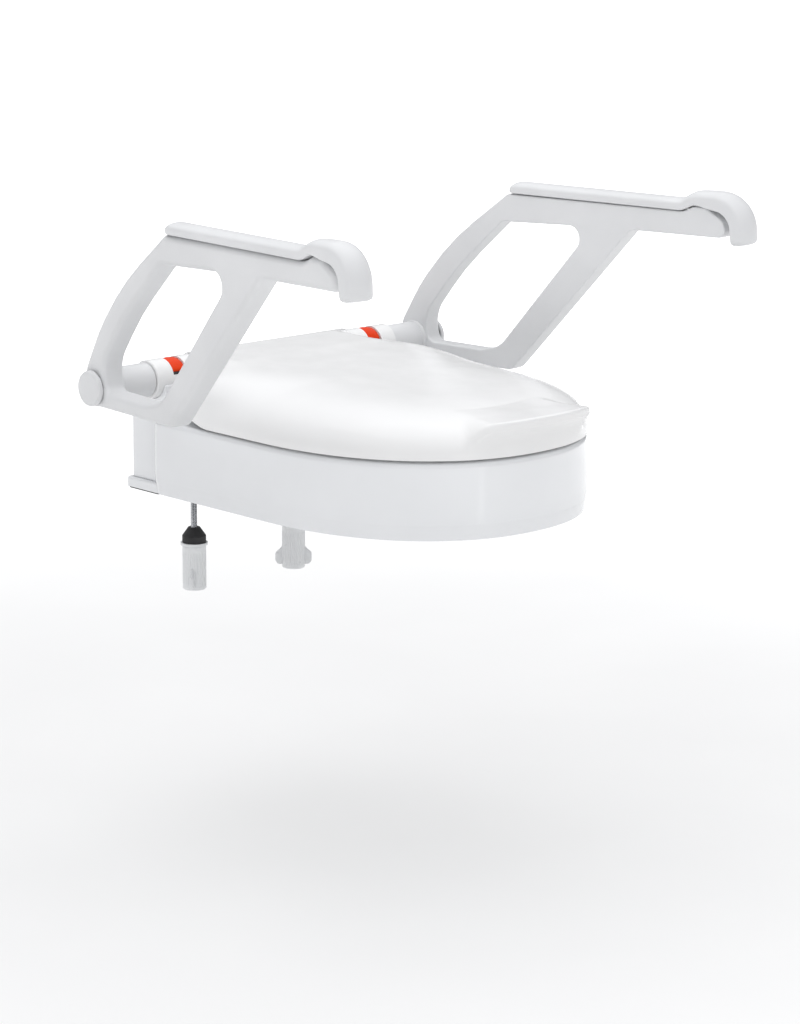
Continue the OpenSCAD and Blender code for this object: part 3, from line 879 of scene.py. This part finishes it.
def bracket():
    """The block behind the ring, with a tower under each sleeve."""
    block = plate(smooth_outline(BLOCK_LINE, 6), [], -BLOCK_X, BLOCK_X, BRACKET_EDGE, BRACKET_EDGE, 4)
    tower = plate(smooth_outline(TOWER_LINE, 4), [], *TOWER_X, BRACKET_EDGE, BRACKET_EDGE, 4)
    return join(block, both_sides(carved(carved(tower, bracket_wells()), collar_seat())))


def collar_seat():
    """The round seat that the collar lies in and the stop key turns in."""
    x0, x1 = COLLAR_SEAT_X
    points, faces = lathe([(0, x0), (COLLAR_SEAT_R, x0), (COLLAR_SEAT_R, x1), (0, x1)], 72)
    return points[:, [2, 1, 0]] * [1, 1, -1], faces


def bracket_wells():
    """The wells of the screws that hold the sleeves, from behind."""
    points, faces = lathe([(0, 24.8), (WELL_R, 24.8), (WELL_R, 60), (0, 60)], 32)
    points = points[:, [0, 2, 1]] * [1, 1, -1]
    return join(*[(points + [x, 0, WELL_Z], faces) for x in WELL_X])


BOLT_X = 77.5
PLATE_X, PLATE_FRONT, PLATE_REAR = 180, -16, 42      # the fixing plate's half width and its ends
BOLT_PART_HALF, BOLT_PART_REAR = 106, 68             # the narrower part behind, which takes the bolts
MAT_HIGH, PLATE_HIGH = 1.5, 13                       # tops of pad and plate above the rim


def plate_outline(inset):
    """The outline of the fixing plate, or of the pad under it, drawn in by inset."""
    x, front, rear = PLATE_X - inset, PLATE_FRONT + inset, PLATE_REAR - inset
    end = BOLT_PART_REAR - inset
    part = BOLT_PART_HALF - inset
    right = [(x, front, 4), (x, rear, 4), (120, rear, 10), (part, 50, 8), (part, end, 14)]
    left = [(-x, y, r) for x, y, r in right[::-1]]
    return smooth_outline(left[-1:] + right + left[:-1], 8)


def bolt_holes(r):
    return [circle(x, BOLT_Y, r)[::-1] for x in (-BOLT_X, BOLT_X)]


piece("hinge_bracket_form", bracket(), "base", RING_WHITE, ["hinge_bracket"])
fixing_plate = slab(plate_outline(0), bolt_holes(4.3), RIM_Z + MAT_HIGH, RIM_Z + PLATE_HIGH, 0.8, 2.2)
piece("fixing_plate_form", fixing_plate, "base", RING_WHITE, ["fixing_plate"])
anti_slip_pad = slab(plate_outline(1.5), bolt_holes(4.6), RIM_Z, RIM_Z + MAT_HIGH, 0.3, 0.1, 2)
piece("anti_slip_pad_form", anti_slip_pad, "base", BLACK_RUBBER_AND_PAINTED_SHADOW, ["anti_slip_pad"])


# ---- bolts and nuts: heights from the rim's plane ----

PITCH, THREAD_R, THREAD_DEEP = 1.25, 3.6, 0.72       # the thread's pitch, mean radius and depth
SHANK_R = 4.0
BOLT_END, THREAD_TOP = -128.0, -33.0
HEAD_LO, HEAD_HI, HEAD_R = 12.9, 18.7, 8
SOCKET_LO, SOCKET_R = 15.8, 2.9                      # the hexagon socket, half its width across flats
NUT_LO, NUT_HI, NUT_R = -138.0, -85.0, 14.0
NUT_RIBS, RIB_HIGH = 24, 0.7
WING_T, WING_TURN = 4, (50, 230)                     # the wings' thickness, and where they stand


def at_bolt(shell):
    return moved(shell, (BOLT_X, BOLT_Y, RIM_Z))


def level_ring(turn, r, z):
    """A ring of points at a height; r is its radius, or one radius for each angle of turn."""
    r = r + 0 * turn
    return np.column_stack([r * np.cos(turn), r * np.sin(turn), np.full(len(turn), z)])


def hexagon(turn, across):
    """The radius of a hexagon in each direction; across is half its width across flats."""
    return across / np.cos((turn + math.pi / 6) % (math.pi / 3) - math.pi / 6)


def bolt():
    """A stud with a real thread, a plain shank and a socket head."""
    turn = np.linspace(0, 2 * math.pi, 36, endpoint=False)
    rings = [level_ring(turn, r, z) for r, z in ((0, BOLT_END), (2.6, BOLT_END), (3.3, BOLT_END + 0.8))]
    for z in np.arange(BOLT_END + 1, THREAD_TOP - 1, PITCH / 6):
        phase = (z / PITCH - turn / (2 * math.pi)) % 1
        crest = 1 - np.abs(2 * phase - 1)
        rings.append(level_ring(turn, THREAD_R - THREAD_DEEP / 2 + THREAD_DEEP * crest, z))
    plain = [(THREAD_R - 0.2, THREAD_TOP), (SHANK_R, THREAD_TOP + 0.8), (SHANK_R, -1), (3.75, 0),
             (3.75, HEAD_LO), (7.6, HEAD_LO), (HEAD_R, 13.3), (HEAD_R, 15.4), (7.4, 17.2), (6.0, 18.2),
             (4.4, 18.6), (3.6, HEAD_HI)]
    rings += [level_ring(turn, r, z) for r, z in plain]
    rings += [level_ring(turn, hexagon(turn, SOCKET_R), z) for z in (18.4, SOCKET_LO)]
    rings.append(level_ring(turn, 0, SOCKET_LO - 0.6))
    return at_bolt(loft(rings, caps=False))


def nut_barrel():
    """The long ribbed barrel, open from below, with a bore for the stud."""
    turn = np.linspace(0, 2 * math.pi, 144, endpoint=False)
    ribs = np.maximum(0, np.cos(NUT_RIBS * turn)) ** 0.7
    rings = []
    for z in np.linspace(NUT_LO, NUT_HI, 40):
        depth = RIB_HIGH * float(ease(z, NUT_LO + 4, NUT_LO + 8) * ease(z, NUT_HI - 5, NUT_HI - 9))
        near = min(z - NUT_LO, NUT_HI - z)
        round_off = 0.9 * (1 - min(1, near / 1.4)) ** 2
        rings.append(level_ring(turn, NUT_R - depth + depth * ribs - round_off, z))
    for r, z in ((11.0, NUT_HI), (4.2, NUT_HI - 0.2), (4.2, NUT_LO + 1), (5.0, NUT_LO), (8.0, NUT_LO),
                 (8.0, NUT_HI - 6), (11.5, NUT_HI - 6), (11.5, NUT_LO + 0.4), (12.2, NUT_LO)):
        rings.append(level_ring(turn, r, z))
    return loft(rings, wrap=True, caps=False)


def wing_nut():
    """The barrel with two wings near its lower end."""
    blade = [(10.5, NUT_LO + 3, 0), (19, NUT_LO + 3.5, 3), (22, NUT_LO + 8, 5), (22, NUT_LO + 18, 5),
             (17, NUT_LO + 22, 6), (12.8, NUT_LO + 27, 4), (10.5, NUT_LO + 28, 0)]
    wing = plate(smooth_outline(blade, 3), [], -WING_T / 2, WING_T / 2, 1.6, 1.6, 4)
    return at_bolt(join(nut_barrel(), *[turned_z(wing, angle) for angle in WING_TURN]))


piece("fixing_bolts_form", both_sides(bolt()), "base", STEEL, ["fixing_bolts"])
for side, flip in SIDES:
    nut = flip(wing_nut())
    piece(side + "_wing_nut_form", nut, side + "_nut", SATIN_WHITE, [side + "_wing_nut"])


# ---- CAD nodes that are shown as they are ----

FINISHES = {
    SATIN_WHITE: ["ring_base", "left_flange_washer", "right_flange_washer"],
    ZINC: ["base_screws", "plate_screws", "collar_screws", "left_pad_screws", "right_pad_screws",
           "axle_end_screws", "axle_end_washers"],
    STEEL: ["axle", "axle_pins"],
    BLACK_RUBBER_AND_PAINTED_SHADOW: ["rim_buffers", "left_stop_buffer", "right_stop_buffer", "left_cone_seal", "right_cone_seal"],
    SOFT_WHITE: ["lid_buffers"],
    BUSHING: ["ring_bushes", "lid_bushes", "left_arm_bushes", "right_arm_bushes"]}
for mat, names in FINISHES.items():
    for name in names:
        node = frame["nodes"][name]
        node.data.materials.clear()
        node.data.materials.append(mat)


# ---- floor, light and camera: metres ----

FLOOR_Z, FLOOR_R = -0.41, 40
FLOOR_DARK, FLOOR_LIGHT = (0.50, 0.50, 0.50), (0.52, 0.52, 0.52)
GLOW_FROM, GLOW_TO = 0.6, 3.4          # distances from the middle over which the floor fades to white
GLOW_LOW, GLOW_HIGH = 0.38, 1.0


def faded(nodes, links, value, start, end, low, high, into):
    """Feeds a socket with low before start, high after end, and a smooth change between."""
    node = nodes.new("ShaderNodeMapRange")
    node.interpolation_type = "SMOOTHSTEP"
    node.inputs["From Min"].default_value = start
    node.inputs["From Max"].default_value = end
    node.inputs["To Min"].default_value = low
    node.inputs["To Max"].default_value = high
    links.new(value, node.inputs["Value"])
    links.new(node.outputs["Result"], into)


def floor():
    """A pale floor with a painted glow, weakest in the middle and growing outwards to the background's
    white, so the middle stays darker; the seat's soft shadow falls there too.
    """
    mesh = bpy.data.meshes.new("floor")
    mesh.from_pydata([(x, y, FLOOR_Z) for x, y in circle(0, 0, FLOOR_R, 64)], [], [tuple(range(64))])
    mat, nodes, links, shader = material("floor")
    tinted(nodes, links, noise(nodes, links, 3, 2), FLOOR_DARK, FLOOR_LIGHT, shader.inputs["Base Color"])
    shader.inputs["Roughness"].default_value = 0.9
    shader.inputs["Specular IOR Level"].default_value = 0.1
    shader.inputs["Emission Color"].default_value = (1, 1, 1, 1)
    place = nodes.new("ShaderNodeTexCoord")
    far = nodes.new("ShaderNodeVectorMath")
    far.operation = "LENGTH"
    links.new(place.outputs["Object"], far.inputs[0])
    faded(nodes, links, far.outputs["Value"], GLOW_FROM, GLOW_TO, GLOW_LOW, GLOW_HIGH,
          shader.inputs["Emission Strength"])
    mesh.materials.append(mat)
    obj = bpy.data.objects.new("floor", mesh)
    bpy.context.scene.collection.objects.link(obj)


CAMERA_AZ, CAMERA_EL, CAMERA_ROLL = math.radians(-43.34), math.radians(13.12), 0.0055
CAMERA_AIM, CAMERA_FAR = (38.7, -182.0, -155.8), 3640.0     # millimetres, from the axle
CAMERA_LENS, CAMERA_SENSOR = 112.1, 36
CAMERA_REACH = 50                                           # metres


def camera():
    back = Vector((math.sin(CAMERA_AZ) * math.cos(CAMERA_EL), -math.cos(CAMERA_AZ) * math.cos(CAMERA_EL),
                   math.sin(CAMERA_EL)))
    right = (-back).cross(Vector((0, 0, 1))).normalized()
    up = right.cross(-back)
    c, s = math.cos(CAMERA_ROLL), math.sin(CAMERA_ROLL)
    axes = Matrix((right * c + up * s, up * c - right * s, back)).transposed().to_4x4()
    data = bpy.data.cameras.new("camera")
    data.lens = CAMERA_LENS
    data.sensor_width = CAMERA_SENSOR
    data.clip_end = CAMERA_REACH
    obj = bpy.data.objects.new("camera", data)
    place = AXLE + (Vector(CAMERA_AIM) + back * CAMERA_FAR) * MM
    obj.matrix_world = Matrix.Translation(place) @ axes
    bpy.context.scene.collection.objects.link(obj)
    bpy.context.scene.camera = obj


def panel(name, width, height, watts):
    """A rectangular area light, still to be placed."""
    data = bpy.data.lights.new(name, "AREA")
    data.shape = "RECTANGLE"
    data.size, data.size_y = width, height
    data.energy = watts
    obj = bpy.data.objects.new(name, data)
    bpy.context.scene.collection.objects.link(obj)
    return obj


def lamp(name, place, aim, size, watts):
    """A soft box: size is (width, height)."""
    obj = panel(name, *size, watts)
    obj.location = place
    obj.rotation_euler = (Vector(aim) - Vector(place)).to_track_quat("-Z", "Y").to_euler()


BACK_PANELS = (("back_left", -0.60, 1.30), ("back_middle", 0.19, 0.14), ("back_right", 0.93, 1.20))
BACK_FAR, BACK_Z, BACK_HIGH, BACK_LEAN = 3.0, 1.25, 1.3, math.radians(6)
BACK_GLOW = 3.0          # watts per square metre


def back_panel(name, middle, width):
    """One of the bright panels behind the seat that the lid mirrors, with dark gaps between them."""
    away = Vector((-math.sin(CAMERA_AZ), math.cos(CAMERA_AZ), 0))
    across = Vector((math.cos(CAMERA_AZ), math.sin(CAMERA_AZ), 0))
    place = away * BACK_FAR + across * middle + Vector((0, 0, BACK_Z))
    axes = Matrix((across, Vector((0, 0, 1)), -away)).transposed().to_4x4()
    obj = panel(name, width, BACK_HIGH, BACK_GLOW * width * BACK_HIGH)
    obj.matrix_world = Matrix.Translation(place) @ axes @ Matrix.Rotation(BACK_LEAN, 4, "Z")


SKY_LOW, SKY_HIGH = 0.27, 1.42         # the even light from the sides, and from straight above
SKY_FROM, SKY_TO = 0.15, 0.95          # heights on the unit sphere between which it changes
SKY_TINT = (0.98, 0.985, 1.0, 1)


def world():
    """Light that grows towards the top; the camera itself sees plain white."""
    sky = bpy.data.worlds.new("world")
    bpy.context.scene.world = sky
    sky.use_nodes = True
    nodes, links = sky.node_tree.nodes, sky.node_tree.links
    light = nodes["Background"]
    light.inputs["Color"].default_value = SKY_TINT
    place = nodes.new("ShaderNodeTexCoord")
    parts = nodes.new("ShaderNodeSeparateXYZ")
    links.new(place.outputs["Generated"], parts.inputs["Vector"])
    faded(nodes, links, parts.outputs["Z"], SKY_FROM, SKY_TO, SKY_LOW, SKY_HIGH, light.inputs["Strength"])
    paper = nodes.new("ShaderNodeBackground")
    paper.inputs["Color"].default_value = (1, 1, 1, 1)
    path = nodes.new("ShaderNodeLightPath")
    mix = nodes.new("ShaderNodeMixShader")
    links.new(path.outputs["Is Camera Ray"], mix.inputs["Fac"])
    links.new(light.outputs["Background"], mix.inputs[1])
    links.new(paper.outputs["Background"], mix.inputs[2])
    links.new(mix.outputs["Shader"], nodes["World Output"].inputs["Surface"])


# name, place, aim, (width, height), watts; the strip draws a bright line in the ring's side
LAMPS = (("key", (-4.6, -3.0, 1.7), (0, -0.2, 0.1), (2.5, 2.5), 9),
         ("over_lid", (-0.14, -0.25, 1.05), (-0.05, -0.25, 0), (0.9, 1.1), 2.5),
         ("strip", (-0.081, -1.52, -0.05), (-0.074, -0.47, -0.05), (0.07, 0.7), 0.2))

floor()
camera()
world()
for spec in LAMPS:
    lamp(*spec)
for spec in BACK_PANELS:
    back_panel(*spec)
bpy.context.scene.view_settings.view_transform = "Standard"
